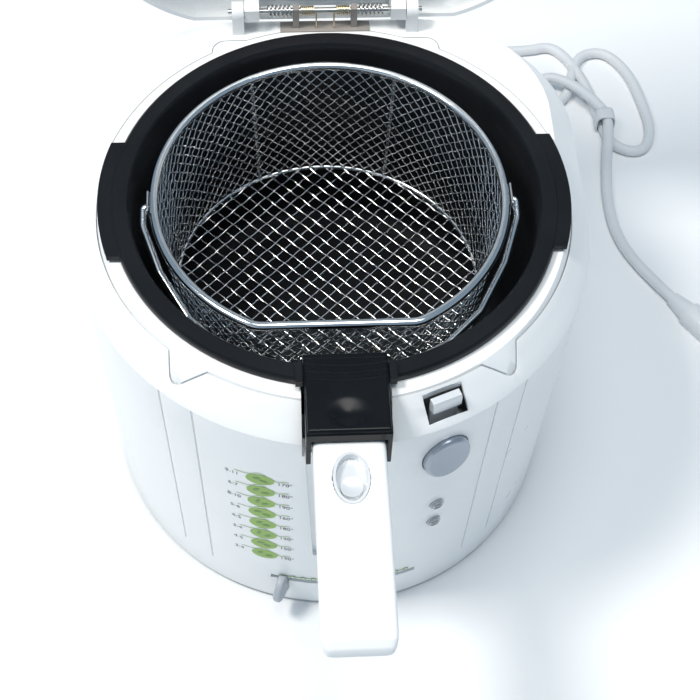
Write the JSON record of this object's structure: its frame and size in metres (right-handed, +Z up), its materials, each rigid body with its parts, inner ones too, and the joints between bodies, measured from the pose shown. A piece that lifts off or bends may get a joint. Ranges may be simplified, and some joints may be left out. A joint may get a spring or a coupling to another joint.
{
  "type": "deep fryer",
  "caption": "Round-fronted household deep fryer with an open hinged lid, lift-out black pot, wire basket hung on a folding handle, sliding thermostat lever and a tied mains lead.",
  "frame": {"origin": "centre of the base plate's underside, on the pot's upright axis; the rubber feet reach 3 mm lower", "axes": "+Z up along the pot's axis, front with the handle towards -Y, +X to the viewer's right"},
  "size_m": [0.4222, 0.584, 0.5009],
  "materials": {
    "white_plastic": "satin",
    "black_enamel": "satin",
    "black_plastic": "gloss",
    "steel": "satin",
    "dark_steel": "satin",
    "chrome_wire": "polished",
    "silver_paint": "metallic paint",
    "brass_wire": "satin",
    "aluminium": "satin",
    "grey_plastic": "matte",
    "rubber": "matte",
    "lens": "clear tint",
    "cord_plastic": "satin",
    "filter_mat": "felt",
    "lever_plastic": "satin"
  },
  "bodies": {
    "body": {"body_shell": "white_plastic", "deck_rim": "white_plastic", "pot_collar": "white_plastic", "base_plate": "grey_plastic", "rubber_feet": "rubber", "base_screws": "steel", "heat_shield": "aluminium", "heater_plate": "aluminium", "heating_element": "steel", "heater_stand": "steel", "thermostat": "grey_plastic", "thermal_fuse": "steel", "terminal_block": "grey_plastic", "lamp_lenses": "lens", "lamp_holder": "grey_plastic", "button_guide": "white_plastic", "button_spring": "steel", "hinge_shaft": "steel", "outer_springs": "steel", "inner_springs": "brass_wire", "spring_anchor": "dark_steel", "strain_relief": "cord_plastic", "cord_tube": "cord_plastic", "cord_hank": "cord_plastic", "cord_tail": "cord_plastic", "plug": "cord_plastic", "plug_pins": "brass_wire"},
    "lid": {"lid_shell": "white_plastic", "lid_liner": "aluminium", "liner_screws": "steel", "lid_filter": "filter_mat", "filter_grille": "white_plastic", "lid_keeper": "silver_paint", "hinge_screws": "steel"},
    "pot": {"pot": "black_enamel"},
    "carrier": {"basket_carrier": "black_plastic", "handle_pin": "steel"},
    "handle": {"handle_shell": "white_plastic", "release_bezel": "silver_paint"},
    "release": {"handle_release": "silver_paint"},
    "bail": {"bail_wire": "chrome_wire"},
    "basket": {"basket_rim": "chrome_wire", "basket_mesh": "chrome_wire", "basket_frame": "chrome_wire", "pivot_plates": "chrome_wire"},
    "button": {"lid_button": "silver_paint"},
    "latch": {"lid_latch": "silver_paint"},
    "lever": {"thermostat_lever": "lever_plastic"}
  },
  "joints": [
    {"name": "lid_hinge", "type": "hinge", "parent": "body", "child": "lid", "pos_m": [0, 0.13, 0.227], "axis": [-1, 0, 0], "range_deg": [-95, 0]},
    {"name": "pot_lift", "type": "slide", "parent": "body", "child": "pot", "axis": [0, 0, 1], "range_m": [0, 0.17]},
    {"name": "basket_lift", "type": "slide", "parent": "pot", "child": "carrier", "axis": [0, 0, 1], "range_m": [0, 0.16]},
    {"name": "handle_fold", "type": "hinge", "parent": "carrier", "child": "handle", "pos_m": [0, -0.146, 0.206], "axis": [-1, 0, 0], "range_deg": [-72, 0]},
    {"name": "bail_swing", "type": "hinge", "parent": "carrier", "child": "bail", "pos_m": [0, -0.101, 0.198], "axis": [1, 0, 0], "range_deg": [-32, 0]},
    {"name": "basket_level", "type": "hinge", "parent": "bail", "child": "basket", "pos_m": [0, 0, 0.211], "axis": [1, 0, 0], "range_deg": [0, 32]},
    {"name": "handle_release", "type": "slide", "parent": "handle", "child": "release", "axis": [0, 1, 0], "range_m": [0, 0.005], "stiffness_N_per_m": 200},
    {"name": "lid_button", "type": "slide", "parent": "body", "child": "button", "axis": [-0.3697, 0.9291, 0], "range_m": [0, 0.004], "stiffness_N_per_m": 500, "deforming": ["button_spring"]},
    {"name": "lid_latch", "type": "slide", "parent": "body", "child": "latch", "axis": [-0.3697, 0.9291, 0], "range_m": [0, 0.003]},
    {"name": "thermostat_turn", "type": "hinge", "parent": "body", "child": "lever", "pos_m": [0, 0, 0.028], "axis": [0, 0, 1], "range_deg": [0, 30]}
  ],
  "couplings": [
    {"joint": "bail_swing", "follows": "handle_fold", "ratio": 0.44444},
    {"joint": "basket_level", "follows": "handle_fold", "ratio": -0.44444},
    {"joint": "lid_latch", "follows": "lid_button", "ratio": 0.75}
  ]
}
